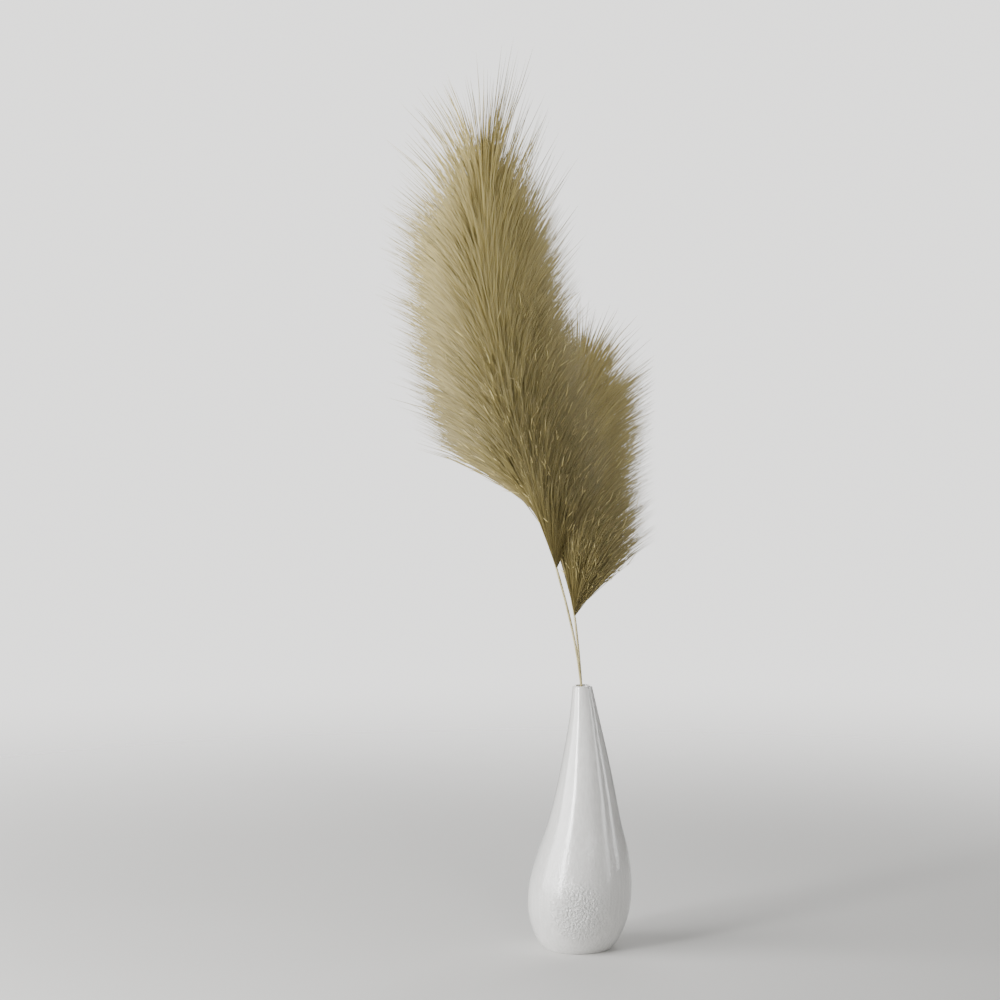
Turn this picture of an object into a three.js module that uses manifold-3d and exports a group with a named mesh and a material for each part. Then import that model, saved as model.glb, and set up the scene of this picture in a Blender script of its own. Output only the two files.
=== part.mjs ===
// A vase of pampas grass: a leaning teardrop vase of glazed stoneware that holds two dried stems,
// each with a plume. Millimetres, +Z up, -Y towards the viewer of the usual front view.
// The origin is the centre of the vase's flat foot, on the surface that it stands on.
import * as THREE from "three";
import { mergeVertices } from "three/addons/utils/BufferGeometryUtils.js";
import Module from "manifold-3d";

const wasm = await Module();
wasm.setup();

// Driving dimensions of the vase
const VASE_HEIGHT = 300;
const FOOT_RADIUS = 38.8;
const BELLY_RADIUS = 58.7;
const BELLY_LEVEL = 56;
const LIP_RADIUS = 11.2;
const LIP_HEIGHT = 2.6;
const BELLY_WALL = 5.2;
const LIP_WALL = 3.7;
const FLOOR_THICKNESS = 8;
const VASE_SIDES = 40;

// Radius and level of the outer wall, from the foot up to where the lip starts to round
const OUTER_WALL = [
  [FOOT_RADIUS, 0],
  [44.2, 6.5],
  [50.4, 18],
  [56, 35],
  [BELLY_RADIUS, BELLY_LEVEL],
  [57, 82],
  [51, 111],
  [42.2, 141],
  [34.9, 173],
  [26.2, 216],
  [17.6, 259],
  [LIP_RADIUS, VASE_HEIGHT - LIP_HEIGHT],
];
const STEPS_PER_SPAN = 2;
const LIP_STEPS = 4;

// How far the middle of the vase leans to +X at each level
const LEAN = [
  [0, 0],
  [2.6, 60],
  [6.7, 115],
  [8.8, 165],
  [9, 210],
  [7.6, 262],
  [5.1, VASE_HEIGHT],
];

// Driving dimensions of the two stems. A route runs from the cut foot inside the vase, past the
// mouth, to the tip of the plume. plumeStart is the point of the route where the plume begins.
const CUT_GAP = 0.3;
const TALL = {
  route: [
    [28, -6, 8.5],
    [20.6, -5.6, 150],
    [4.2, -5.9, 297],
    [-1, -8, 335],
    [-9.7, -10, 378],
    [-24.5, -14, 434],
    [-36.4, -18, 473],
    [-52.2, -24, 523],
    [-70.2, -31, 585],
    [-85.7, -37, 652],
    [-97.9, -42, 724],
    [-104.5, -45, 790],
    [-106, -46, 872],
  ],
  plumeStart: 5,
  footRadius: 1.35,
  neckRadius: 1,
  tipRadius: 0.5,
};
const SHORT = {
  route: [
    [16, 5, 8.5],
    [11.6, 5.3, 150],
    [4.2, 5.9, 297],
    [1.2, 8, 335],
    [-3.5, 11, 377],
    [-8.7, 16, 407],
    [-13.2, 21, 435],
    [-17, 29, 470],
    [-17.6, 38, 510],
    [-14, 48, 556],
    [-8, 56, 596],
    [-1, 62, 634],
  ],
  plumeStart: 4,
  footRadius: 1.25,
  neckRadius: 1,
  tipRadius: 0.5,
};
const STEM_SIDES = 6;
const STEM_STEPS = 18;

// The plumes: locks of fine awns that leave the middle stalk all round, bend outwards, and end in
// a point. Angles are measured from the stalk, in degrees. On the narrow side, given as a turn from
// +X, the locks open less by the share narrowBy, and over the first nestShare of the plume by nestBy.
const TALL_LOCKS = {
  count: 50,
  firstTurn: 40,
  length: 174,
  width: 31,
  thickness: 16,
  rootAngle: 34,
  tipAngle: 60,
  narrowSide: 0,
  narrowBy: 0.05,
  nestShare: 0.22,
  nestBy: 0.5,
  tuftLength: 1.04,
};
const SHORT_LOCKS = {
  count: 32,
  firstTurn: 240,
  length: 145,
  width: 27,
  thickness: 14,
  rootAngle: 36,
  tipAngle: 66,
  narrowSide: 180,
  narrowBy: 0.72,
  nestShare: 0.1,
  nestBy: 0,
  tuftLength: 0.86,
};
const GOLDEN_ANGLE = THREE.MathUtils.degToRad(137.508);
// Above this share of the plume the locks close up into the tuft at its tip
const TUFT_START = 0.72;
const TUFT_CLOSE = 0.62;
const LOCK_RINGS = 4;
const ROOT_WIDTH = 1.2;

// The finish of each kind of piece
const GLAZE = { color: 0xe9e9e6, roughness: 0.3, metalness: 0 };
const STALK = { color: 0xb4a87c, roughness: 0.6, metalness: 0 };
const AWNS = { color: 0xa99b6b, roughness: 0.85, metalness: 0 };

const points2 = (list) => list.map(([x, y]) => new THREE.Vector2(x, y));
const points3 = (list) => list.map((p) => new THREE.Vector3(...p));

// How far the vase leans at any level, smoothly between the levels given above
const leanCurve = new THREE.SplineCurve(points2(LEAN));
function leanAt(level) {
  const i = Math.max(1, LEAN.findIndex(([, z]) => z >= level));
  const low = LEAN[i - 1][1];
  const high = LEAN[i][1];
  const share = THREE.MathUtils.clamp((level - low) / (high - low), 0, 1);
  return leanCurve.getPoint((i - 1 + share) / (LEAN.length - 1)).x;
}

// The wall's section, from the middle of the foot, up the outside, over the lip and down inside
function wallSection() {
  const curve = new THREE.SplineCurve(points2(OUTER_WALL));
  const steps = (OUTER_WALL.length - 1) * STEPS_PER_SPAN;
  const outside = curve.getPoints(steps);
  const inside = [];
  for (let i = steps - 1; i > 0; i -= STEPS_PER_SPAN) {
    const share = i / steps;
    const slope = curve.getTangent(share);
    const wall = THREE.MathUtils.lerp(BELLY_WALL, LIP_WALL, share);
    const p = outside[i].clone().add(new THREE.Vector2(-slope.y, slope.x).multiplyScalar(wall));
    if (p.y > FLOOR_THICKNESS + 1) inside.push(p);
  }
  const lip = [];
  const top = outside[steps];
  for (let i = 1; i <= LIP_STEPS; i++) {
    const turn = (Math.PI * i) / LIP_STEPS;
    const across = (1 - Math.cos(turn)) * LIP_WALL * 0.5;
    lip.push(new THREE.Vector2(top.x - across, top.y + Math.sin(turn) * LIP_HEIGHT));
  }
  const corner = inside.at(-1);
  return [
    new THREE.Vector2(0, 0),
    ...outside,
    ...lip,
    ...inside,
    new THREE.Vector2(corner.x * 0.8, FLOOR_THICKNESS),
    new THREE.Vector2(0, FLOOR_THICKNESS),
  ];
}

// The hollow vase: the section turned round the middle, then leant level by level
function vaseGeometry() {
  const geometry = new THREE.LatheGeometry(wallSection(), VASE_SIDES);
  geometry.rotateX(Math.PI / 2);
  const position = geometry.getAttribute("position");
  for (let i = 0; i < position.count; i++) {
    position.setX(i, position.getX(i) + leanAt(position.getZ(i)));
  }
  return geometry;
}

// A closed body from rings of points, one ring per station, with a flat cap on each end.
// A last ring of one point makes a pointed end.
function loft(rings) {
  const sides = rings[0].length;
  const flat = rings.flat().flatMap((p) => p.toArray());
  const faces = [];
  const starts = rings.map((_, i) => i * sides);
  for (let i = 0; i + 1 < rings.length; i++) {
    const [a, b] = [starts[i], starts[i + 1]];
    for (let k = 0; k < sides; k++) {
      const next = (k + 1) % sides;
      if (rings[i + 1].length === 1) {
        faces.push(a + k, a + next, b);
      } else {
        faces.push(a + k, a + next, b + next, a + k, b + next, b + k);
      }
    }
  }
  for (let k = 1; k + 1 < sides; k++) {
    faces.push(starts[0], k + 1, k);
    if (rings.at(-1).length > 1) {
      const last = starts.at(-1);
      faces.push(last, last + k, last + k + 1);
    }
  }
  const geometry = new THREE.BufferGeometry();
  geometry.setAttribute("position", new THREE.Float32BufferAttribute(flat, 3));
  geometry.setIndex(faces);
  return geometry;
}

// Two directions square to a stalk: one towards +X, the other away from the viewer
function across(tangent) {
  const side = new THREE.Vector3(1, 0, 0).addScaledVector(tangent, -tangent.x).normalize();
  return { side, back: tangent.clone().cross(side) };
}

// A round stalk of falling radius along part of a route, from share to share of its length
function stalkGeometry(curve, from, to, startRadius, endRadius) {
  const rings = [];
  for (let i = 0; i <= STEM_STEPS; i++) {
    const share = i / STEM_STEPS;
    const u = THREE.MathUtils.lerp(from, to, share);
    const centre = curve.getPointAt(u);
    const { side, back } = across(curve.getTangentAt(u));
    const radius = THREE.MathUtils.lerp(startRadius, endRadius, share);
    const ring = [];
    for (let k = 0; k < STEM_SIDES; k++) {
      const turn = (2 * Math.PI * k) / STEM_SIDES;
      const p = centre.clone().addScaledVector(side, Math.cos(turn) * radius);
      ring.push(p.addScaledVector(back, Math.sin(turn) * radius));
    }
    rings.push(ring);
  }
  return loft(rings);
}

// One lock: a flat, pointed body that leaves the stalk at root in the direction turn, round it
function lockGeometry(root, tangent, turn, form) {
  const { side, back } = across(tangent);
  const outward = side.multiplyScalar(Math.cos(turn)).addScaledVector(back, Math.sin(turn));
  const sideways = tangent.clone().cross(outward);
  const rings = [];
  const at = root.clone();
  for (let i = 0; i < LOCK_RINGS; i++) {
    const share = i / LOCK_RINGS;
    const angle = THREE.MathUtils.lerp(form.rootAngle, form.tipAngle, share);
    const heading = tangent.clone().multiplyScalar(Math.cos(angle));
    heading.addScaledVector(outward, Math.sin(angle));
    const through = heading.clone().cross(sideways);
    const spread = Math.sin(Math.PI * share ** 1.3);
    const halfWidth = Math.max(ROOT_WIDTH, form.width * spread) / 2;
    const halfDepth = Math.max(ROOT_WIDTH, form.thickness * spread) / 2;
    rings.push([
      at.clone().addScaledVector(sideways, halfWidth),
      at.clone().addScaledVector(through, halfDepth),
      at.clone().addScaledVector(sideways, -halfWidth),
      at.clone().addScaledVector(through, -halfDepth),
    ]);
    at.addScaledVector(heading, form.length / LOCK_RINGS);
  }
  rings.push([at]);
  return loft(rings);
}

// A closed three.js geometry as a solid that can be joined
function solidOf(geometry) {
  const bare = new THREE.BufferGeometry();
  bare.setAttribute("position", geometry.getAttribute("position"));
  bare.setIndex(geometry.index);
  const merged = mergeVertices(bare, 1e-4);
  return new wasm.Manifold(
    new wasm.Mesh({
      numProp: 3,
      vertProperties: merged.getAttribute("position").array,
      triVerts: new Uint32Array(merged.index.array),
    }),
  );
}

function geometryOf(solid) {
  const mesh = solid.getMesh();
  const geometry = new THREE.BufferGeometry();
  geometry.setAttribute("position", new THREE.BufferAttribute(mesh.vertProperties, 3));
  geometry.setIndex(new THREE.BufferAttribute(mesh.triVerts, 1));
  return geometry;
}

// The shape of lock number i: where it leaves the stalk, in which direction, and how it bends
function lockForm(i, locks) {
  const share = (i + 0.5) / locks.count;
  const turn = THREE.MathUtils.degToRad(locks.firstTurn) + i * GOLDEN_ANGLE;
  const tuft = THREE.MathUtils.smoothstep(share, TUFT_START, 1);
  const nested = 1 - THREE.MathUtils.smoothstep(share, 0, locks.nestShare);
  const aside = turn - THREE.MathUtils.degToRad(locks.narrowSide);
  const towardsNarrow = Math.sqrt(Math.max(0, Math.cos(aside)));
  const narrow = 1 - locks.narrowBy * towardsNarrow;
  const spread = narrow * (1 - locks.nestBy * nested) * (1 - TUFT_CLOSE * tuft);
  const uneven = 0.9 + 0.1 * Math.sin(i * 2.4);
  return {
    share,
    turn,
    length: locks.length * uneven * THREE.MathUtils.lerp(1, locks.tuftLength, tuft),
    width: locks.width * (1 - 0.3 * tuft),
    thickness: locks.thickness,
    rootAngle: THREE.MathUtils.degToRad(locks.rootAngle * spread * (1 - 0.5 * tuft)),
    tipAngle: THREE.MathUtils.degToRad(locks.tipAngle * spread),
  };
}

// A plume: the middle stalk with its locks joined to it. A lock that would run into something
// already there is turned a little round the stalk, and left out if it finds no room.
function plumeSolid(stem, curve, start, locks, taken) {
  let plume = solidOf(stalkGeometry(curve, start, 1, stem.neckRadius, stem.tipRadius));
  const nudges = [0, 10, -10, 20, -20, 30, -30].map(THREE.MathUtils.degToRad);
  for (let i = 0; i < locks.count; i++) {
    const form = lockForm(i, locks);
    const u = THREE.MathUtils.lerp(start, 1, 0.02 + 0.96 * form.share);
    const root = curve.getPointAt(u);
    const tangent = curve.getTangentAt(u);
    for (const nudge of nudges) {
      const lock = solidOf(lockGeometry(root, tangent, form.turn + nudge, form));
      if (taken && lock.intersect(taken).volume() > 0) continue;
      plume = plume.add(lock);
      break;
    }
  }
  return plume;
}

function mesh(name, geometry, finish) {
  const made = new THREE.Mesh(geometry, new THREE.MeshStandardMaterial(finish));
  made.name = name;
  return made;
}

// One stem of grass: the bare stem up to its plume, and the plume
function grass(name, stem, locks, taken) {
  const curve = new THREE.CatmullRomCurve3(points3(stem.route));
  curve.arcLengthDivisions = 800;
  const lengths = curve.getLengths();
  const whole = lengths.at(-1);
  const knot = Math.round((stem.plumeStart / (stem.route.length - 1)) * (lengths.length - 1));
  const start = lengths[knot] / whole;
  const end = start - CUT_GAP / whole;
  const bare = stalkGeometry(curve, 0, end, stem.footRadius, stem.neckRadius);
  const plume = plumeSolid(stem, curve, start, locks, taken);
  const group = new THREE.Group();
  group.add(mesh(`${name}_stem`, bare, STALK), mesh(`${name}_plume`, geometryOf(plume), AWNS));
  return { group, plume };
}

const part = new THREE.Group();
const tall = grass("tall", TALL, TALL_LOCKS, null);
const short = grass("short", SHORT, SHORT_LOCKS, tall.plume);
part.add(mesh("vase", vaseGeometry(), GLAZE), tall.group, short.group);

export default part;
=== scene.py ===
# %% [markdown]
# # A vase of pampas grass
# Two dried plumes of pampas grass stand in a slim, leaning teardrop vase of white glazed
# stoneware. The CAD model gives every size and place. Here each piece gets the surface that it
# has on the real object: the glaze, the dry stalks and thousands of separate awns.

# %% Load the frame
import math

import bpy
import numpy as np
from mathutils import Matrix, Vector


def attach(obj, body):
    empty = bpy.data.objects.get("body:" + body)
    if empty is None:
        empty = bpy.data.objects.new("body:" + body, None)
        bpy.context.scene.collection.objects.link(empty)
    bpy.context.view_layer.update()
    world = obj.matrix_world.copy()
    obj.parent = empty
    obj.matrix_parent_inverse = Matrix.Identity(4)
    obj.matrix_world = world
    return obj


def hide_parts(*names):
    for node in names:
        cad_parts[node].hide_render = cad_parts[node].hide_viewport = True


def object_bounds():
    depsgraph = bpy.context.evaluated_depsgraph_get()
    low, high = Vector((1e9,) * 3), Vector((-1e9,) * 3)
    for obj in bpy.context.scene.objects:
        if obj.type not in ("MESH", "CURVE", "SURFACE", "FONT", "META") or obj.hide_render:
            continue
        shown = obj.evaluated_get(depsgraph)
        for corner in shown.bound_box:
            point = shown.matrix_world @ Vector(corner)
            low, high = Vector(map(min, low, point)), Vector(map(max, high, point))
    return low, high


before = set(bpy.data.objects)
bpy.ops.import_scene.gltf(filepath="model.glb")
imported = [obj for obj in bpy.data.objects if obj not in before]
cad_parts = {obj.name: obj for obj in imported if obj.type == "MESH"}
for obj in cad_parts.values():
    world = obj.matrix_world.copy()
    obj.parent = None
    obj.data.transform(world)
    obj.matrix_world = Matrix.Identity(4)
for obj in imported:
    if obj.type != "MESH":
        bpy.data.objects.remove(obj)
cad_low, cad_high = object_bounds()
print("CAD box in metres:", [round(v, 4) for v in (*cad_low, *cad_high)])

# %% [markdown]
# ## The camera
# The photograph looks almost level at the vase from some three metres, through a long lens,
# so that the plumes aren't stretched. A 100 mm lens on a 36 mm sensor gives the same drawing.
# The camera's place is in metres, with the vase's foot at the origin and the viewer on -Y.

# %% Camera
LOOKS_DOWN = 4.5  # degrees below level
camera_data = bpy.data.cameras.new("long_lens")
camera_data.lens = 100
camera_data.sensor_width = 36
camera = bpy.data.objects.new("camera", camera_data)
camera.location = (-0.0880, -3.1154, 0.7553)
camera.rotation_euler = (math.radians(90 - LOOKS_DOWN), 0, 0)
bpy.context.collection.objects.link(camera)
bpy.context.scene.camera = camera
print("camera stands", round(Vector(camera.location).length, 2), "m from the vase's foot")

# %% [markdown]
# ## Sizes and colours
# Sizes are written in millimetres, as a potter would measure them, and colours as sRGB hex, as
# they look on a screen. Blender wants metres and linear light, so a factor and a function
# translate.

# %% Millimetres and hex colours
MM = 0.001


def linear(hex_colour):
    """An sRGB hex colour as the linear RGBA that Blender's shaders use."""
    parts = [int(hex_colour[i : i + 2], 16) / 255 for i in (1, 3, 5)]
    return (*[c / 12.92 if c <= 0.04045 else ((c + 0.055) / 1.055) ** 2.4 for c in parts], 1)


print("mid grey #808080 is", round(linear("#808080")[0], 3), "in linear light")

# %% [markdown]
# ## One function for every shader node
# A material is a tree of nodes. Each is added in the same way: made, given its settings, and then
# linked or set input by input. In the node editor that is a click and some dragging. In code one
# function is enough, for colour ramps too, whose stops are pairs of a place and a hex colour.

# %% Add a node, start a material
def node(tree, kind, settings=None, **inputs):
    """Adds a node with its settings. Inputs go by name, with _ for a space, or by number as i0."""
    made = tree.nodes.new(kind)
    for key, value in (settings or {}).items():
        if key != "stops":
            setattr(made, key, value)
            continue
        band = made.color_ramp.elements
        while len(band) < len(value):
            band.new(0.5)
        for element, (place, colour) in zip(band, value):
            element.position, element.color = place, linear(colour)
    for key, value in inputs.items():
        numbered = key[0] == "i" and key[1:].isdigit()
        socket = made.inputs[int(key[1:]) if numbered else key.replace("_", " ")]
        if isinstance(value, bpy.types.NodeSocket):
            tree.links.new(value, socket)
        else:
            socket.default_value = value
    return made


def finish_named(name):
    """A new material with a Principled shader: returns material, its tree and the shader."""
    material = bpy.data.materials.new(name)
    material.use_nodes = True
    tree = material.node_tree
    return material, tree, tree.nodes["Principled BSDF"]

# %% [markdown]
# ## The glaze: brush marks
# The vase is thrown stoneware under a thick white tin glaze, brushed on from foot to lip and
# then fired glossy. The brush's hairs leave upright marks some 2.5 mm wide and several
# centimetres long. They are a hundredth of a millimetre deep, far too shallow to model, so a
# noise texture, stretched upwards, gives a bump, which is drawn deep enough to ripple the
# highlights. Where the glaze lies thin, the clay makes it a touch darker.

# %% White tin glaze, brushed upwards
MARK_WIDTH, MARK_LENGTH = 2.5 * MM, 60 * MM
tin_glaze, tree, shader = finish_named("white_tin_glaze_brushed_and_fired")
place = node(tree, "ShaderNodeTexCoord").outputs["Object"]
strokes = node(
    tree, "ShaderNodeMapping", Vector=place,
    Scale=(1 / MARK_WIDTH, 1 / MARK_WIDTH, 1 / MARK_LENGTH),
).outputs[0]
brushed = node(
    tree, "ShaderNodeTexNoise", Vector=strokes, Scale=1.0, Detail=3.0, Roughness=0.6
).outputs["Fac"]
thin_and_thick = node(
    tree, "ShaderNodeValToRGB", {"stops": [(0.3, "#c4c3c0"), (0.7, "#d3d2cf")]}, Fac=brushed
).outputs["Color"]
tree.links.new(thin_and_thick, shader.inputs["Base Color"])
print("brush marks:", round(1 / MARK_WIDTH), "to the metre round the wall")

# %% [markdown]
# ## The glaze: dimples where it ran thick
# A thick glaze crawls into an orange-peel skin of dimples. Most are in a patch on the front of
# the belly, with a few all round the lower part. Orange peel is 1 to 3 mm across, and only its
# coarser dimples would show from here, so these are 2.6 mm, and deeper than the real ones.
# Sculpting them would cost a million faces, while a noise does it and stays sharp up close.

# %% White tin glaze, dimpled low down
DIMPLE, DIMPLE_DEPTH = 2.6 * MM, 4.5 * MM
PATCH_MIDDLE = (-1 * MM, -55 * MM, 50 * MM)
FEW = 0.16  # strength of the dimples outside the patch
peel = node(
    tree, "ShaderNodeTexNoise", Vector=place, Scale=1 / DIMPLE, Detail=3.0
).outputs["Fac"]
height = node(tree, "ShaderNodeSeparateXYZ", Vector=place).outputs["Z"]
low_down = node(
    tree, "ShaderNodeMapRange", {"interpolation_type": "SMOOTHSTEP"},
    Value=height, From_Min=200 * MM, From_Max=60 * MM, To_Min=0.0, To_Max=FEW,
).outputs["Result"]
from_patch = node(
    tree, "ShaderNodeVectorMath", {"operation": "DISTANCE"}, i0=place, i1=PATCH_MIDDLE
).outputs["Value"]
thick_patch = node(
    tree, "ShaderNodeMapRange", {"interpolation_type": "SMOOTHSTEP"},
    Value=from_patch, From_Min=44 * MM, From_Max=16 * MM, To_Min=0.0, To_Max=1.0,
).outputs["Result"]
where = node(tree, "ShaderNodeMath", {"operation": "MAXIMUM"}, i0=low_down, i1=thick_patch)
peeled = node(tree, "ShaderNodeMath", {"operation": "MULTIPLY"}, i0=peel, i1=where.outputs[0])
print("dimples:", round(1 / DIMPLE), "to the metre")

# %% [markdown]
# ## The glaze: its gloss
# Both patterns go through Bump nodes, one after the other. The gloss starts from the values of
# glass, which a glaze is: smooth, and bending light by about 1.5 to 1.6. A thin coat on top gives
# the eye the second, sharper highlight of a surface that melted and set in the kiln.

# %% White tin glaze, fired glossy
dimpled = node(
    tree, "ShaderNodeBump", Strength=1.0, Distance=DIMPLE_DEPTH, Height=peeled.outputs[0]
)
rippled = node(
    tree, "ShaderNodeBump",
    Strength=0.3, Distance=0.4 * MM, Height=brushed, Normal=dimpled.outputs[0],
)
tree.links.new(rippled.outputs[0], shader.inputs["Normal"])
# a touch rougher than glass and with a slightly higher IOR, to match the object's highlights
shader.inputs["Roughness"].default_value = 0.12
shader.inputs["IOR"].default_value = 1.62
shader.inputs["Coat Weight"].default_value = 0.5
shader.inputs["Coat Roughness"].default_value = 0.06
print("glaze:", len(tree.nodes), "nodes")

# %% [markdown]
# ## Smooth lines through points
# The vase's outline and the stems' routes are both smooth lines through measured points. In
# Blender that is a curve object, with handles set by hand. Here a cubic spline does it, because
# it needs no handles: the direction at each point comes from its neighbours.

# %% Smooth lines
def cubic(b, c, leaving, arriving, steps):
    """Points on a curve from b towards c, given its speed at both ends."""
    t = np.linspace(0, 1, steps, endpoint=False)[:, None]
    return (
        (2 * b - 2 * c + leaving + arriving) * t**3
        + (3 * c - 3 * b - 2 * leaving - arriving) * t**2 + leaving * t + b
    )


def spline(points, steps):
    """A smooth line through the points, with the same number of steps in every span."""
    p = np.array(points, float)
    p = np.vstack([p[0], p, p[-1]])
    spans = [
        cubic(b, c, (c - a) / 2, (d - b) / 2, steps) for a, b, c, d in zip(p, p[1:], p[2:], p[3:])
    ]
    return np.vstack(spans + [p[-1:]])

# %% [markdown]
# ## The vase's section
# A potter throws this form on a wheel and then leans it while the clay is soft. In Blender it
# could be a profile with a Screw modifier, bent by a lattice. Writing it in code keeps the lean
# exact. The section runs from the middle of the foot up the outside, over the round lip, down
# the inside and to the middle of the floor inside. Points are radius and height in millimetres.

# %% The vase's section
OUTER_WALL = [
    (38.8, 0), (44.2, 6.5), (50.4, 18), (56, 35), (58.7, 56), (57, 82), (51, 111),
    (42.2, 141), (34.9, 173), (26.2, 216), (17.6, 259), (11.2, 297.4),
]
BELLY_WALL, LIP_WALL, LIP_HEIGHT, INSIDE_FLOOR = 5.2, 3.7, 2.6, 8
FOOT_EDGE = 0.3  # height of the foot's rounded edge
MIDDLE = 0.01  # radius of the rings that close the foot and the floor inside
LIP_STEPS = 12

outside = spline(OUTER_WALL, steps=14)
slope = np.gradient(outside, axis=0)
slope /= np.linalg.norm(slope, axis=1)[:, None]
thickness = np.linspace(BELLY_WALL, LIP_WALL, len(outside))[:, None]
# the inside is seldom seen, so every fifth point is enough for it
inside = (outside + np.c_[-slope[:, 1], slope[:, 0]] * thickness)[-2::-5]
inside = inside[inside[:, 1] > INSIDE_FLOOR + 1]
turn = np.linspace(0, math.pi, LIP_STEPS + 1)[1:]
lip_radius, lip_foot = OUTER_WALL[-1]
lip = np.c_[
    lip_radius - (1 - np.cos(turn)) * LIP_WALL / 2, lip_foot + np.sin(turn) * LIP_HEIGHT
]
foot = np.array([(MIDDLE, 0.0), (30, 0.0), (37.6, 0.0)])
bottom = np.array([(inside[-1][0] * 0.8, INSIDE_FLOOR), (MIDDLE, INSIDE_FLOOR)])
section = np.vstack([foot, outside[1:], lip, inside, bottom])
section[len(foot), 1] = max(section[len(foot), 1], FOOT_EDGE)
print("vase section:", len(section), "points, widest", round(section[:, 0].max() * 2, 1), "mm")

# %% [markdown]
# ## Tubes and mesh objects
# The vase and the stalks are all tubes: rings of points, joined by four-sided faces, which shade
# more evenly than triangles, and closed by a flat face at each end. Blender's from_pydata turns
# lists of points and faces into a mesh.

# %% Faces of a tube, and an object from points
def tube_faces(rings, sides):
    """Faces that join rings of points, numbered ring by ring, and close both ends."""
    walls = [
        (r * sides + k, r * sides + (k + 1) % sides,
         (r + 1) * sides + (k + 1) % sides, (r + 1) * sides + k)
        for r in range(rings - 1)
        for k in range(sides)
    ]
    last = (rings - 1) * sides
    return walls + [tuple(range(sides))[::-1], tuple(range(last, last + sides))]


def mesh_piece(name, corners, faces, material, smooth=True):
    """An object from corners in metres and faces as lists of corner numbers."""
    mesh = bpy.data.meshes.new(name)
    mesh.from_pydata(corners, [], faces)
    mesh.polygons.foreach_set("use_smooth", [smooth] * len(mesh.polygons))
    mesh.materials.append(material)
    mesh.update()
    piece = bpy.data.objects.new(name, mesh)
    bpy.context.collection.objects.link(piece)
    print(name, len(faces), "faces")
    return piece


print("a tube of 2 rings with 3 sides:", tube_faces(2, 3))

# %% [markdown]
# ## The vase
# Every point of the section becomes a ring, and each ring is moved sideways to where the leaning
# middle line is at its height. A Screw modifier turns a section in the same way, but only about a
# straight axis. The wall also wanders by a tenth of a millimetre, as a hand-thrown wall does. Too
# little to see as a shape, it shows in how the long highlights run.

# %% The vase as rings of points
SIDES = 180
# sideways place of the vase's middle, and height, in mm
LEAN = [(0, 0), (2.6, 60), (6.7, 115), (8.8, 165), (9, 210), (7.6, 262), (5.1, 300)]
# depth in mm, waves round the wall, and how far they turn for each mm of height
WANDER = [(0.12, 2, 0.021), (0.07, 5, -0.05)]

angles = np.linspace(0, 2 * math.pi, SIDES, endpoint=False)
radius, level = section[:, :1], section[:, 1:]
wander = sum(depth * np.sin(angles * waves + level * twist) for depth, waves, twist in WANDER)
# it fades out in the lowest 20 mm, where the foot must stand flat, and towards the middle
wander = wander * np.clip(level / 20, 0, 1) * np.clip(radius / 11, 0, 1)
lean_line = spline(LEAN, steps=20)
lean = np.interp(level, lean_line[:, 1], lean_line[:, 0])
x = (radius + wander) * np.cos(angles) + lean
y = (radius + wander) * np.sin(angles)
z = level + 0 * angles
corners = np.stack([x, y, z], 2).reshape(-1, 3) * MM
vase = mesh_piece("glazed_vase", corners.tolist(), tube_faces(len(section), SIDES), tin_glaze)
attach(vase, "root")
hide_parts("vase")

# %% [markdown]
# ## A line along a stem
# Each stem runs from its cut end inside the vase, over the lip, to the tip of its plume. Its line
# is a centripetal spline, as in the CAD model: it passes through every point, and it makes no
# loops where points are close together. The class measures it, so that all that grows
# on a stem can ask for the place and the direction at any length along it.

# %% A route for a stem
SPAN_STEPS = 40


def centripetal(a, b, c, d):
    """The stretch from b to c of a centripetal spline through four points."""
    d0, d1, d2 = (np.linalg.norm(q - r) ** 0.5 for q, r in ((b, a), (c, b), (d, c)))
    leaving = ((b - a) / d0 - (c - a) / (d0 + d1) + (c - b) / d1) * d1
    arriving = ((c - b) / d1 - (d - b) / (d1 + d2) + (d - c) / d2) * d1
    return cubic(b, c, leaving, arriving, SPAN_STEPS)


class Route:
    """A line along a stem, sampled finely, that gives place and direction at any length."""

    def __init__(self, points, plume_from):
        p = np.array(points, float)
        p = np.vstack([2 * p[0] - p[1], p, 2 * p[-1] - p[-2]])
        spans = [centripetal(*four) for four in zip(p, p[1:], p[2:], p[3:])]
        self.line = np.vstack(spans + [p[-2:-1]])
        steps = np.linalg.norm(np.diff(self.line, axis=0), axis=1)
        self.along = np.r_[0, np.cumsum(steps)]
        self.length = self.along[-1]
        self.plume_start = self.along[plume_from * SPAN_STEPS]
        self.plume_length = self.length - self.plume_start

    def at(self, distance):
        return np.stack([np.interp(distance, self.along, c) for c in self.line.T], -1)

    def heading(self, distance):
        """The direction, from 2 mm before a place to 2 mm after it."""
        ahead = self.at(np.minimum(distance + 2, self.length))
        way = ahead - self.at(np.maximum(distance - 2, 0))
        return way / np.linalg.norm(way, axis=-1, keepdims=True)

    def heading_at_height(self, height):
        """The direction at a height, which is one place, because a stem only rises."""
        return self.heading(np.interp(height, self.line[:, 2], self.along))

# %% [markdown]
# ## The two routes
# The points are the CAD model's own, in millimetres from the middle of the vase's foot: to the
# right, away from the viewer and up. The plumes start at their sixth and fifth point.

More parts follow.
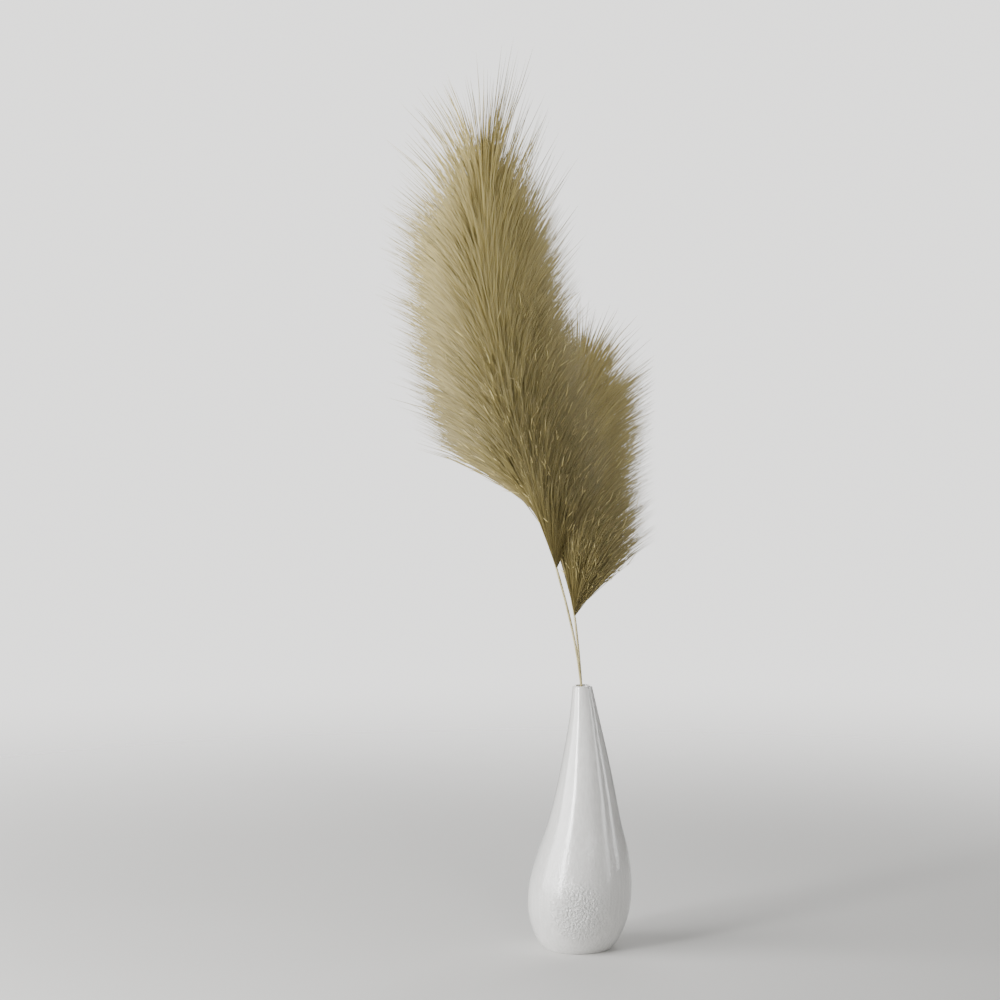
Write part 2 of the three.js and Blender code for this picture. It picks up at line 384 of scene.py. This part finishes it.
# %% The two routes
tall = Route(
    [
        (28, -6, 8.5), (20.6, -5.6, 150), (4.2, -5.9, 297), (-1, -8, 335), (-9.7, -10, 378),
        (-24.5, -14, 434), (-36.4, -18, 473), (-52.2, -24, 523), (-70.2, -31, 585),
        (-85.7, -37, 652), (-97.9, -42, 724), (-104.5, -45, 790), (-106, -46, 872),
    ],
    plume_from=5,
)
short = Route(
    [
        (16, 5, 8.5), (11.6, 5.3, 150), (4.2, 5.9, 297), (1.2, 8, 335), (-3.5, 11, 377),
        (-8.7, 16, 407), (-13.2, 21, 435), (-17, 29, 470), (-17.6, 38, 510), (-14, 48, 556),
        (-8, 56, 596), (-1, 62, 634),
    ],
    plume_from=4,
)
for name, route in (("tall", tall), ("short", short)):
    print(name, round(route.plume_start), "mm of stem,", round(route.plume_length), "mm of plume")

# %% [markdown]
# ## The dry stalks' finish
# The stems are culms, the hollow straws of a grass, dried to a pale straw green. Fine ribs run
# along them, with a few darker stains where leaf sheaths were stripped. The surface is waxy, so
# it has a soft gloss. Real ribs are about 0.3 mm apart. A stalk is only three pixels wide here,
# so no coarser ones could show either, and they keep their real size for a closer look.

# %% Dried grass culm, ribbed
RIB_WIDTH, RIB_LENGTH = 0.3 * MM, 30 * MM
dry_culm, tree, shader = finish_named("dried_grass_culm_ribbed")
place = node(tree, "ShaderNodeTexCoord").outputs["Object"]
ribs = node(
    tree, "ShaderNodeMapping", Vector=place,
    Scale=(1 / RIB_WIDTH, 1 / RIB_WIDTH, 1 / RIB_LENGTH),
).outputs[0]
rib = node(tree, "ShaderNodeTexNoise", Vector=ribs, Scale=1.0, Detail=2.0).outputs["Fac"]
# stains of some 2 cm
stain = node(tree, "ShaderNodeTexNoise", Vector=place, Scale=45.0, Detail=3.0).outputs["Fac"]
mixed = node(tree, "ShaderNodeMath", {"operation": "MULTIPLY_ADD"}, i0=rib, i1=0.5, i2=stain)
culm_colour = node(
    tree, "ShaderNodeValToRGB",
    {"stops": [(0.5, "#7f754a"), (0.75, "#a1966a"), (0.95, "#b5ab80")]},
    Fac=mixed.outputs[0],
).outputs["Color"]
tree.links.new(culm_colour, shader.inputs["Base Color"])
ribbed = node(tree, "ShaderNodeBump", Strength=0.4, Distance=0.1 * MM, Height=rib)
tree.links.new(ribbed.outputs[0], shader.inputs["Normal"])
# plant wax: an IOR of 1.4 to 1.5, and neither shiny nor dull
shader.inputs["Roughness"].default_value = 0.42
shader.inputs["IOR"].default_value = 1.48
print("culm:", len(tree.nodes), "nodes")

# %% [markdown]
# ## A round stalk along a route
# A stalk is a tube that follows its route, with its rings square to the way ahead. A curve
# object with a round bevel gives the same tube, but a swept ring can also taper, and swell a
# little where the grass had a joint, and it's a plain closed mesh at once.

# %% A stalk as a swept ring
STALK_SIDES, RING_EVERY, FEWEST_RINGS = 14, 5, 24  # the second in mm
JOINT_SWELL, JOINT_LENGTH = 0.22, 4  # share of the radius, and mm


def square_to(way):
    """Two directions square to a way: one towards +X and one away from the viewer."""
    side = np.array([1.0, 0, 0]) - way * way[..., :1]
    side /= np.linalg.norm(side, axis=-1, keepdims=True)
    return side, np.cross(way, side)


def stalk(name, route, start, end, radii, joints, covers):
    """A round stalk along part of a route, swollen at its joints (places in mm along it)."""
    count = max(FEWEST_RINGS, int((end - start) / RING_EVERY))
    along = np.linspace(start, end, count)
    centre, way = route.at(along), route.heading(along)
    side, back = square_to(way)
    thick = np.interp(along, (start, end), radii)
    for joint in joints:
        thick = thick * (1 + JOINT_SWELL * np.exp(-(((along - joint) / JOINT_LENGTH) ** 2)))
    turns = np.linspace(0, 2 * math.pi, STALK_SIDES, endpoint=False)
    rings = centre[:, None] + thick[:, None, None] * (
        np.cos(turns)[:, None] * side[:, None] + np.sin(turns)[:, None] * back[:, None]
    )
    corners = (rings.reshape(-1, 3) * MM).tolist()
    piece = mesh_piece(name, corners, tube_faces(count, STALK_SIDES), dry_culm)
    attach(piece, "root")
    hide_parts(covers)

# %% [markdown]
# ## The two stems
# Both culms stand on the vase's floor, cross in its mouth and end where their plumes begin. They
# are 2.5 to 3 mm thick, as pampas culms are just below the plume. A culm's joints are far apart,
# and all of these are inside the vase, so what shows is one smooth length of each.

# %% The two stems
GAP = 0.3  # mm between a culm and its plume's own stalk
stalk("tall_culm", tall, 0, tall.plume_start - GAP, (1.5, 1.3), (95, 262), "tall_stem")
stalk("short_culm", short, 0, short.plume_start - GAP, (1.4, 1.25), (120, 255), "short_stem")

# %% [markdown]
# ## The awns' finish
# An awn is a dry, silky bristle, part of the flower's husk. It is straw brown at its root and
# bleached at its tip, and its root is painted darker still: painted shade for the dense middle of
# the plume, where the roots lie in each other's shadow. Each one is a little different, so every
# awn carries two numbers in its mesh: how far along it a point is, and a tone of its own.
# A fibre this fine also lets light through, which a soft, straw-coloured sheen stands for here.

# %% Silky awns, sun bleached
silky_awn, tree, shader = finish_named("silky_awn_bleached_with_painted_shade")
along = node(tree, "ShaderNodeAttribute", {"attribute_name": "along_awn"}).outputs["Fac"]
tone = node(tree, "ShaderNodeAttribute", {"attribute_name": "awn_tone"}).outputs["Fac"]
# the dark root stop is partly the awn's own brown and partly painted shade for the crowded middle
root_to_tip = node(
    tree, "ShaderNodeValToRGB",
    {"stops": [(0.0, "#7d7042"), (0.3, "#a08f54"), (0.75, "#b3a366"), (1.0, "#bbad7c")]},
    Fac=along,
).outputs["Color"]
brightness = node(
    tree, "ShaderNodeMapRange", {"clamp": False}, Value=tone, To_Min=0.275, To_Max=0.765
).outputs["Result"]
# a Mix node has sockets for each kind of data, and those for two colours are numbers 6 and 7
coloured = node(
    tree, "ShaderNodeMix", {"data_type": "RGBA", "blend_type": "MULTIPLY"},
    Factor=1.0, i6=root_to_tip, i7=brightness,
).outputs[2]
tree.links.new(coloured, shader.inputs["Base Color"])
# plant fibre, at half the usual specular level: bunched hairs hide each other's gloss
shader.inputs["Roughness"].default_value = 0.5
shader.inputs["IOR"].default_value = 1.5
shader.inputs["Sheen Weight"].default_value = 0.25
shader.inputs["Sheen Roughness"].default_value = 0.4
shader.inputs["Sheen Tint"].default_value = linear("#cdbf95")
shader.inputs["Specular IOR Level"].default_value = 0.25
print("awn finish:", len(tree.nodes), "nodes")

# %% [markdown]
# ## How an awn bends
# Awns leave the middle stalk on all sides at a narrow angle and bend outwards, quickly near the
# root and then almost straight. Each is first a line: its bend is added up over 32 small steps,
# and four stations of it are kept. Hair curves would do this with less work, but awns that are
# real, closed meshes can be exported.

# %% Awns as lines round a route
RINGS = np.array([0, 0.22, 0.72])
STATIONS = np.r_[RINGS, 1.0]
BEND_STEPS = 32
EARLY = 0.55  # below 1, most of the bend is near the root
DEPTH = 0.86  # a plume hangs a little flatter from front to back than from side to side


def awn_lines(route, share, turn, length, root_angle, tip_angle):
    """Middle lines of awns as an array [awn, station, xyz] in mm, from root to tip."""
    distance = route.plume_start + share * route.plume_length
    base, way = route.at(distance), route.heading(distance)
    side, back = square_to(way)
    outward = side * np.cos(turn)[:, None] + DEPTH * back * np.sin(turn)[:, None]
    fine = np.linspace(0, 1, BEND_STEPS + 1)
    bend = root_angle[:, None] + (tip_angle - root_angle)[:, None] * fine**EARLY
    step = length[:, None] / BEND_STEPS
    forward = np.cumsum(np.cos(bend) * step, 1) - np.cos(bend) * step
    sideways = np.cumsum(np.sin(bend) * step, 1) - np.sin(bend) * step
    pick = np.round(STATIONS * BEND_STEPS).astype(int)
    return (
        base[:, None]
        + forward[:, pick, None] * way[:, None]
        + sideways[:, pick, None] * outward[:, None]
    )


print("an awn's line has its stations at steps", np.round(STATIONS * BEND_STEPS).astype(int))

# %% [markdown]
# ## From a line to a closed spike
# Each line becomes a spike of three small triangular rings and a point: 16 triangles, closed, so
# it casts a shadow and can be exported. A hair needs no more sides, because its roundness can't
# be seen.

# %% The points of a spike
SPIKE_SIDES = 3
TAPER = np.array([0.6, 1.0, 0.8])  # thickness of each ring, as a share of the awn's width
RING_POINTS = len(RINGS) * SPIKE_SIDES
SPIKE_POINTS = RING_POINTS + 1
SPIKE_WALLS = tube_faces(len(RINGS), SPIKE_SIDES)[:-2]
SPIKE_FACES = SPIKE_WALLS + [(6, 7, 9), (7, 8, 9), (8, 6, 9), (2, 1, 0)]


def spike_points(lines, width):
    """Three rings and a point for each awn, as an array [awn, point, xyz] in mm."""
    way = np.gradient(lines, axis=1)
    way /= np.linalg.norm(way, axis=2, keepdims=True)
    side, back = square_to(way)
    rings = []
    for k in range(SPIKE_SIDES):
        a = 2 * math.pi * k / SPIKE_SIDES
        arm = math.cos(a) * side[:, :3] + math.sin(a) * back[:, :3]
        rings.append(lines[:, :3] + arm * (width[:, None] * TAPER / 2)[..., None])
    body = np.stack(rings, 2).reshape(len(lines), RING_POINTS, 3)
    return np.concatenate([body, lines[:, 3:]], 1)


print("a spike has", SPIKE_POINTS, "points and", len(SPIKE_FACES), "faces")

# %% [markdown]
# ## Shading by the bunch
# What the eye reads in a plume is the bunch, not the single hair, and light scatters from hair to
# hair. So custom normals turn each spike's shading part of the way towards the side its bunch
# faces, square to the stalk. Without them every spike would have a hard lit and a dark side, and
# the plume would sparkle like wire.

# %% Normals of the spikes
SOFTEN = 0.6  # how much the bunch counts against the spike's own roundness
HALF_LEAN = 3  # mm that a spike reaches sideways where it leans half as much as a long one


def soft_normals(lines, points, width, route):
    """A normal for each point of each spike."""
    stalk_way = route.heading_at_height(lines[:, 0, 2])
    chord = lines[:, 3] - lines[:, 0]
    outward = chord - (chord * stalk_way).sum(1, keepdims=True) * stalk_way
    outward /= np.linalg.norm(outward, axis=1, keepdims=True) + HALF_LEAN
    middle = np.repeat(lines[:, :3], SPIKE_SIDES, axis=1)
    round_it = (points[:, :RING_POINTS] - middle) / width[:, None, None]
    ahead = lines[:, 3:] - lines[:, 2:3]
    ahead = ahead / np.linalg.norm(ahead, axis=2, keepdims=True)
    normals = np.concatenate([round_it, ahead * 0.5], 1) + SOFTEN * outward[:, None]
    return (normals / np.linalg.norm(normals, axis=2, keepdims=True)).reshape(-1, 3)

# %% [markdown]
# ## Many spikes in one mesh
# Tens of thousands of objects would be slow, and so would a Python loop over their points. All
# spikes of a part go into one mesh, which foreach_set fills with whole arrays at once.

# %% One mesh of many spikes
def spike_mesh(name, points, normals, numbers):
    """A mesh of spikes. Numbers are the values that each point carries, by name."""
    count = len(points)
    face = [corner for corners in SPIKE_FACES for corner in corners]
    loops = (np.arange(count)[:, None] * SPIKE_POINTS + face).ravel()
    sizes = np.tile([len(corners) for corners in SPIKE_FACES], count)
    mesh = bpy.data.meshes.new(name)
    mesh.vertices.add(count * SPIKE_POINTS)
    mesh.vertices.foreach_set("co", points.ravel() * MM)
    mesh.loops.add(len(loops))
    mesh.loops.foreach_set("vertex_index", loops)
    mesh.polygons.add(len(sizes))
    mesh.polygons.foreach_set("loop_start", np.r_[0, np.cumsum(sizes)[:-1]])
    mesh.polygons.foreach_set("use_smooth", np.ones(len(sizes), bool))
    for key, values in numbers.items():
        mesh.attributes.new(key, "FLOAT", "POINT").data.foreach_set("value", values)
    mesh.materials.append(silky_awn)
    mesh.update()
    mesh.validate()
    mesh.normals_split_custom_set_from_vertices(normals)
    return mesh

# %% [markdown]
# ## Spikes as pieces of the scene
# The awns are sorted from low to high and shared out over a few pieces, so that no single mesh
# gets too heavy to work with. Each piece stands for the same CAD plume.

# %% Pieces of awns
def awn_meshes(name, lines, width, tone, route, covers, parts, shares=(0.0, 1.0)):
    """Closed spikes along the lines, in as many pieces as parts, from low to high."""
    order = np.argsort(lines[:, 0, 2])
    along = np.interp(np.r_[np.repeat(RINGS, SPIKE_SIDES), 1.0], (0, 1), shares)
    for number, chosen in enumerate(np.array_split(order, parts)):
        count = len(chosen)
        points = spike_points(lines[chosen], width[chosen])
        normals = soft_normals(lines[chosen], points, width[chosen], route)
        numbers = {
            "along_awn": np.tile(along, count),
            "awn_tone": np.repeat(tone[chosen], SPIKE_POINTS),
        }
        mesh = spike_mesh(f"{name}_{number}", points, normals, numbers)
        piece = bpy.data.objects.new(f"{name}_{number}", mesh)
        bpy.context.collection.objects.link(piece)
        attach(piece, "root")
        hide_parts(covers)
        print(piece.name, count, "spikes,", count * 16, "triangles")

# %% [markdown]
# ## The shape of each plume
# The angles and lengths follow the CAD locks: open all round and closing into a tuft at the tip.
# The short plume lies close on its left, where it grew against its neighbour, and arches out to
# the right. Places along a stalk are shares of it, from 0 at the plume's foot to 1 at its tip.
#
# - length, root, tip: full length in mm, and the angle from the stalk at both ends, in degrees
# - tight_side, tight_until: where the foot's awns lie close to the stalk, and where they open
# - upright, upright_from: how steeply awns on the right rise in the upper part, and from where
# - broad_base: degrees by which the foot's awns on the right stand out more
# - thin_from, thin_by: from where awns get fewer, and by how much at the tip
# - tuft_length, tuft_spread: length of the tip's awns, and how far they close
# - bare_until: up to where the stalk shows on the tight side
# - tip_lower: how much shorter the bunches are near the tip
# - foot_tone, tone_rise, tone_spread: tone at the foot, its rise, and how bunches differ

# %% Awn angles and lengths
LEFT, RIGHT = math.pi, 0.0
PLUMES = {
    "tall": dict(
        route=tall, length=174, root=24, tip=49, tight_side=LEFT, tight_until=(0.07, 0.17),
        upright=0.85, upright_from=(0.45, 0.85), broad_base=4, thin_from=0.45, thin_by=0.97,
        tuft_length=1.0, tuft_spread=0.34, bare_until=0.1, tip_lower=0.32,
        foot_tone=0.2, tone_rise=0.6, tone_spread=0.05,
    ),
    "short": dict(
        route=short, length=156, root=27, tip=53, tight_side=LEFT, tight_until=(0.12, 0.42),
        upright=0.3, upright_from=(0.5, 0.9), broad_base=13, thin_from=0.45, thin_by=0.85,
        tuft_length=0.8, tuft_spread=0.5, bare_until=0.24, tip_lower=0.12,
        foot_tone=0.32, tone_rise=0.4, tone_spread=0.13,
    ),
}
for name, plume in PLUMES.items():
    print(name, "plume: awns up to", plume["length"], "mm on", round(plume["route"].plume_length))

# %% [markdown]
# ## How the awns lie
# An awn is placed by two numbers: its share of the way up the stalk, and its turn round it. This
# function gives every such place its length and its angles, so that a change to the plume's
# outline is a change of a few numbers.

# %% Length and angles at a place
TUFT_FROM = 0.72  # share of the stalk where the tuft begins
CLOSED = 0.97  # how far the tight side closes
ROOT_OUT, TIP_IN = 26, 30  # degrees by which a fully upright awn leaves wider and ends steeper


def smooth(low, high, value):
    """0 below low, 1 above high, and an easy slope between them."""
    t = np.clip((value - low) / (high - low), 0, 1)
    return t * t * (3 - 2 * t)


def facing(turn, side):
    """1 where a turn points to a side, falling to 0 at right angles to it and beyond."""
    return np.sqrt(np.maximum(0, np.cos(turn - side)))


def shape(plume, share, turn):
    """Full length, root angle and tip angle of awns at these shares and turns."""
    tuft = smooth(TUFT_FROM, 1, share)
    on_tight_side = np.minimum(1, 1.3 * facing(turn, plume["tight_side"]))
    tight = (1 - smooth(*plume["tight_until"], share)) * on_tight_side * CLOSED
    # on the right of a plume's upper part the awns leave wide and then rise steeply
    upright = plume["upright"] * smooth(*plume["upright_from"], share) * facing(turn, RIGHT)
    broad = plume["broad_base"] * (1 - smooth(0.2, 0.8, share)) * facing(turn, RIGHT)
    root = plume["root"] + broad * 0.3 + upright * ROOT_OUT
    tip = plume["tip"] + broad - upright * TIP_IN
    spread = (1 - tight) * (1 - plume["tuft_spread"] * tuft)
    length = plume["length"] * (1 + (plume["tuft_length"] - 1) * tuft)
    return length, np.radians(root) * spread * (1 - 0.35 * tuft), np.radians(tip) * spread


foot_awn = shape(PLUMES["tall"], np.array([0.2]), np.array([RIGHT]))
print("low on the right, a tall awn leaves at", np.degrees(foot_awn[1]).round(), "degrees")

# %% [markdown]
# ## Where awns grow
# Awns are dense along most of the stalk and sparse at its tip. The foot's tight side has none:
# there the bare stalk shows. A last helper shortens the few awns that would reach out of the
# space that the CAD model holds.

# %% Places on the stalk, and limits
LAST = 0.99  # share of the stalk where the last awns leave
REACH = 4 * MM  # how far the finest tips may stand out of the CAD box
NO_REACH = 0.01  # mm: less than this counts as none, so that nothing is divided by zero
LEAST = 0.3  # share of its length that an awn keeps in any case


def places(plume, count, rng, thinning=1.0):
    """Shares of the stalk for count awns, dense along most of it and sparse at its tip."""
    s = np.linspace(0, LAST, 200)
    dense = 1 - thinning * plume["thin_by"] * smooth(plume["thin_from"], 1, s)
    total = np.cumsum(dense)
    even = (np.arange(count) + rng.uniform(0, 1, count)) / count
    return np.interp(even * total[-1], total, s)


def off_the_bare_side(plume, share, turn):
    """Whether awns grow there: the stalk shows on the tight side of the plume's foot."""
    return (share > plume["bare_until"]) | (facing(turn, plume["tight_side"]) < 0.5)


def kept_within(lines, low, high):
    """The same awns, shortened where a tip would pass a box given in metres."""
    root = lines[:, 0]
    reach = lines[:, -1] - root
    room = np.where(reach > 0, high / MM - root, low / MM - root)
    fits = (room / np.where(np.abs(reach) < NO_REACH, NO_REACH, reach)).min(1)
    fits = np.clip(fits, LEAST, 1)
    return root[:, None] + (lines - root[:, None]) * fits[:, None, None]

# %% [markdown]
# ## Guides for the bunches
# Awns stick together in tufts, so one guide awn is laid out first for each of a few thousand
# bunches. Each is turned 137.5 degrees further than the one before, which spreads them evenly
# without rows, as leaves do on many plants. Their lengths differ a lot: that roughens the outline.

# %% Guides
GOLDEN = math.radians(137.508)


def guide_awns(plume, count, rng):
    """Share, turn, length and middle line of each bunch's guide."""
    share = places(plume, count, rng)
    turn = np.arange(count) * GOLDEN + rng.normal(0, 0.25, count)
    length, root, tip = shape(plume, share, turn)
    length = length * (1 - 0.55 * rng.uniform(0, 1, count) ** 0.85)
    # the bunches end lower at the tip, where only single long awns stand up out of the plume
    length = length * (1 - plume["tip_lower"] * smooth(0.55, 0.95, share))
    return share, turn, length, awn_lines(plume["route"], share, turn, length, root, tip)

# %% [markdown]
# ## Bunches round the guides
# Each guide gets a few awns, which leave the stalk near it and lean towards its tip, so that a
# bunch is open at its foot and pointed at its end. The children of a hair system clump together
# by the same idea.

# %% Bunches
CLUMP = 0.34  # share of the gap to its guide that an awn's tip closes
LEAVE_NEAR, TURN_NEAR = 0.025, 0.36  # scatter round the guide: share of the stalk, and radians
ROOT_SCATTER, TIP_SCATTER = math.radians(3), math.radians(4)


def bunched_awns(plume, guides, each, rng):
    """For each awn of the bunches: the number of its guide, its share and its middle line."""
    guide_share, guide_turn, guide_length, guide_lines = guides
    owner = np.repeat(np.arange(len(guide_share)), each)
    share = np.clip(guide_share[owner] + rng.normal(0, LEAVE_NEAR, len(owner)), 0, LAST)
    turn = guide_turn[owner] + rng.normal(0, TURN_NEAR, len(owner))
    grown = off_the_bare_side(plume, share, turn)
    owner, share, turn = owner[grown], share[grown], turn[grown]
    _, root, tip = shape(plume, share, turn)
    length = guide_length[owner] * rng.uniform(0.72, 1.05, len(owner))
    root = root + rng.normal(0, ROOT_SCATTER, len(owner))
    tip = tip + rng.normal(0, TIP_SCATTER, len(owner))
    lines = awn_lines(plume["route"], share, turn, length, root, tip)
    pull = STATIONS**1.5 * CLUMP
    return owner, share, lines + (guide_lines[owner] - lines) * pull[None, :, None]

# %% [markdown]
# ## Loose awns
# Between the bunches stand longer single awns, which make the spiky outline. They stray more
# from their neighbours the nearer they are to the plume's tip.

# %% Loose awns
def loose_awns(plume, count, rng):
    """Share and middle line of each loose awn."""
    share = places(plume, count, rng, thinning=0.85)
    turn = rng.uniform(0, 2 * math.pi, count)
    grown = off_the_bare_side(plume, share, turn)
    share, turn = share[grown], turn[grown]
    length, root, tip = shape(plume, share, turn)
    shorter = 0.35 + plume["tip_lower"] * smooth(0.6, 1, share)
    length = length * (1 - shorter * rng.uniform(0, 1, len(share)) ** 0.8)
    stray = rng.normal(0, np.radians(3 + 4 * share))
    return share, awn_lines(plume["route"], share, turn, length, root + stray, tip + stray)

# %% [markdown]
# ## Tones
# Each bunch has its own tone, because its awns dried and bleached together. The lower part of a
# plume is darker, partly from dust and partly as painted shade where the plume shades itself, and
# the tip is painted palest of all, as painted light.

# %% A tone for every awn
def awn_tones(plume, owner, tufts, share, rng):
    """Tones of the bunched awns, which have owners, and then of the loose ones."""
    spread = plume["tone_spread"]
    loose = len(share) - len(owner)
    tone = np.r_[rng.normal(0, spread, tufts)[owner], rng.normal(0.03, spread, loose)]
    # darker at the foot and rising upwards: partly dust, partly painted shade where the plume
    # shades itself
    tone = tone + plume["foot_tone"] + plume["tone_rise"] * smooth(0.0, 0.75, share)
    # painted light: the awns near the tip are lifted to the palest tone
    tone = tone + 0.3 * smooth(0.7, 1, share)
    return np.clip(tone + rng.normal(0, 0.05 + spread * 0.6, len(tone)), 0, 1.3)

# %% [markdown]
# ## Florets
# Last come the florets: pale, slightly curled husks, 7 to 17 mm long, that cling to awns in the
# lower part of a plume, where they haven't been shed. They catch the light as small bright
# strokes. They are spikes too, wider and paler than the awns.

# %% Florets on the lower awns
CLING_BELOW = 0.45  # share of the stalk


def floret_lines(awns, share, count, rng):
    """Middle lines of husks that cling to some of the awns."""
    low_down = np.flatnonzero(share < CLING_BELOW)
    carriers = rng.choice(low_down, count, replace=False)
    start, end = awns[carriers, 1], awns[carriers, 3]
    way = end - start
    way = way / np.linalg.norm(way, axis=1, keepdims=True)
    base = start + (end - start) * rng.uniform(0.3, 0.85, (count, 1))
    off = rng.normal(0, 0.2, (count, 3))
    curl = rng.normal(0, 0.12, (count, 3))
    long = rng.uniform(7, 17, (count, 1, 1))
    station = STATIONS[None, :, None]
    return base[:, None] + long * (station * (way + off)[:, None] + station**2 * curl[:, None])

# %% [markdown]
# ## Growing a plume
# One function grows it all, in order: guides, bunches, loose awns, florets and the stalk in the
# middle. All random numbers come from one seeded generator, so a plume grows the same way each
# time. A real awn is a tenth of a millimetre thick, too fine to show from here, and there are
# many more of them. These are as coarse as they need to be to be seen one by one.

# %% One whole plume
BUNCHED_WIDTH, LOOSE_WIDTH, HUSK_WIDTH = (0.55, 0.85), (1.0, 1.4), (0.8, 1.2)  # mm
HUSK_TONE = (1.15, 1.75)
HUSK_COLOURS = (0.7, 1.0)  # the bleached end of an awn's colours
PLUME_STALK = (1.15, 0.5)  # radius at its foot and at its tip, mm


def grow(name, seed, tufts, awns_per_tuft, loose, florets, parts):
    """All the pieces of one plume."""
    plume, rng, covers = PLUMES[name], np.random.default_rng(seed), f"{name}_plume"
    route = plume["route"]
    guides = guide_awns(plume, tufts, rng)
    owner, share, bunched = bunched_awns(plume, guides, awns_per_tuft, rng)
    loose_share, single = loose_awns(plume, loose, rng)
    lines = np.concatenate([bunched, single])
    lines = kept_within(lines, np.array(cad_low) - REACH, np.array(cad_high) + REACH)
    tone = awn_tones(plume, owner, tufts, np.r_[share, loose_share], rng)
    width = np.r_[rng.uniform(*BUNCHED_WIDTH, len(owner)), rng.uniform(*LOOSE_WIDTH, len(single))]
    awn_meshes(f"{name}_awns", lines, width, tone, route, covers, parts)
    husks = floret_lines(lines, share, florets, rng)
    width, tone = rng.uniform(*HUSK_WIDTH, florets), rng.uniform(*HUSK_TONE, florets)
    awn_meshes(f"{name}_florets", husks, width, tone, route, covers, 1, HUSK_COLOURS)
    stalk(
        f"{name}_plume_stalk", route, route.plume_start, route.length, PLUME_STALK, (), covers
    )

# %% [markdown]
# ## The two plumes
# The taller plume has the most awns, in three pieces, and the shorter has two.

# %% The two plumes
grow("tall", seed=11, tufts=4800, awns_per_tuft=6, loose=6800, florets=2400, parts=3)
grow("short", seed=23, tufts=2860, awns_per_tuft=6, loose=3800, florets=1500, parts=2)

# %% [markdown]
# ## The floor
# The piece stands on a sheet of matt white card. It has no gloss, so it gives the eye a quiet
# ground and a soft shadow. A photographer would curve it up behind the object, but then it would
# stand in the way of other views. A round disc that turns clear towards its rim blends into the
# surround from every side.

# %% Floor of matt white card
FLOOR_RADIUS, RIM_POINTS = 2.3, 96
SOLID_TO, CLEAR_FROM = 0.5, 2.2  # metres from the middle
floor_finish, tree, shader = finish_named("matt_white_card")
shader.inputs["Base Color"].default_value = linear("#d2d1ce")
shader.inputs["Roughness"].default_value = 0.85
spot = node(tree, "ShaderNodeTexCoord").outputs["Object"]
reach = node(tree, "ShaderNodeVectorMath", {"operation": "LENGTH"}, i0=spot).outputs["Value"]
fade = node(
    tree, "ShaderNodeMapRange", {"interpolation_type": "SMOOTHSTEP"},
    Value=reach, From_Min=SOLID_TO, From_Max=CLEAR_FROM,
).outputs["Result"]
clear = node(tree, "ShaderNodeBsdfTransparent").outputs[0]
blend = node(tree, "ShaderNodeMixShader", Fac=fade, i1=shader.outputs[0], i2=clear)
tree.links.new(blend.outputs[0], tree.nodes["Material Output"].inputs["Surface"])
rim = FLOOR_RADIUS * np.exp(2j * math.pi * np.arange(RIM_POINTS) / RIM_POINTS)
floor_corners = [(0, 0, 0)] + [(p.real, p.imag, 0) for p in rim]
floor_faces = [(0, k + 1, (k + 1) % RIM_POINTS + 1) for k in range(RIM_POINTS)]
floor = mesh_piece("floor", floor_corners, floor_faces, floor_finish, smooth=False)

# %% [markdown]
# ## The surround
# The world is a pale, even grey. Light Path tells the camera's rays from all others, so the
# backdrop looks pale while it gives hardly any light: the softboxes then draw the form.

# %% Surround
world = bpy.data.worlds.new("pale_surround")
world.use_nodes = True
tree = world.node_tree
tree.nodes.clear()
seen = node(tree, "ShaderNodeBackground", Color=linear("#f3f2f0"), Strength=2.2)
lit = node(tree, "ShaderNodeBackground", Color=linear("#c9c8c6"), Strength=0.08)
ray = node(tree, "ShaderNodeLightPath")
both = node(
    tree, "ShaderNodeMixShader",
    Fac=ray.outputs["Is Camera Ray"], i1=lit.outputs[0], i2=seen.outputs[0],
)
node(tree, "ShaderNodeOutputWorld", Surface=both.outputs[0])
bpy.context.scene.world = world
print("surround:", len(tree.nodes), "nodes")

# %% [markdown]
# ## Soft studio light
# A large window of light stands on the left. A tall narrow strip beside it draws the long
# highlight on the glaze, and two weaker strips on the right answer it. Two lamps with grids are
# aimed at the plumes alone, from the front and from behind: they open the shadows between the
# awns and leave the glaze's darker right side as it is.

# %% Lights
AIM_X = -0.03  # metres: the plumes lean to the left


def softbox(name, azimuth, distance, height, size, power, spread=180, aim_height=0.45):
    """A soft rectangle of light. Azimuth 0 is at the camera, positive to the right. A grid over
    it narrows its spread, in degrees, so that it lights only what it is aimed at."""
    lamp = bpy.data.lights.new(name, "AREA")
    lamp.shape = "RECTANGLE"
    lamp.size, lamp.size_y = size
    lamp.energy = power
    lamp.spread = math.radians(spread)
    a = math.radians(azimuth)
    box = bpy.data.objects.new(name, lamp)
    box.location = (distance * math.sin(a), -distance * math.cos(a), height)
    aim = Vector((AIM_X, 0, aim_height)) - box.location
    box.rotation_euler = aim.to_track_quat("-Z", "Y").to_euler()
    box.visible_camera = False
    bpy.context.collection.objects.link(box)


# azimuth in degrees, then distance, height and size in metres, and power in watts
softbox("window_left", -72, 2.2, 0.95, (2.0, 1.8), 112)
softbox("strip_left", -48, 2.0, 0.56, (0.34, 1.15), 38)
softbox("fill_front", 6, 3.0, 1.1, (1.2, 1.2), 2)
softbox("fill_plumes", 16, 2.6, 1.8, (0.8, 0.8), 2.0, spread=26, aim_height=0.82)
softbox("strip_right", 63, 2.2, 0.62, (0.4, 1.1), 8)
softbox("edge_right", 94, 2.2, 0.62, (0.46, 1.1), 9)
softbox("back", 180, 2.4, 1.2, (2.0, 1.6), 30)
softbox("back_plumes", 142, 2.5, 1.6, (0.9, 0.9), 1.6, spread=30, aim_height=0.76)
softbox("top", 0, 0.3, 2.5, (1.6, 1.6), 12)
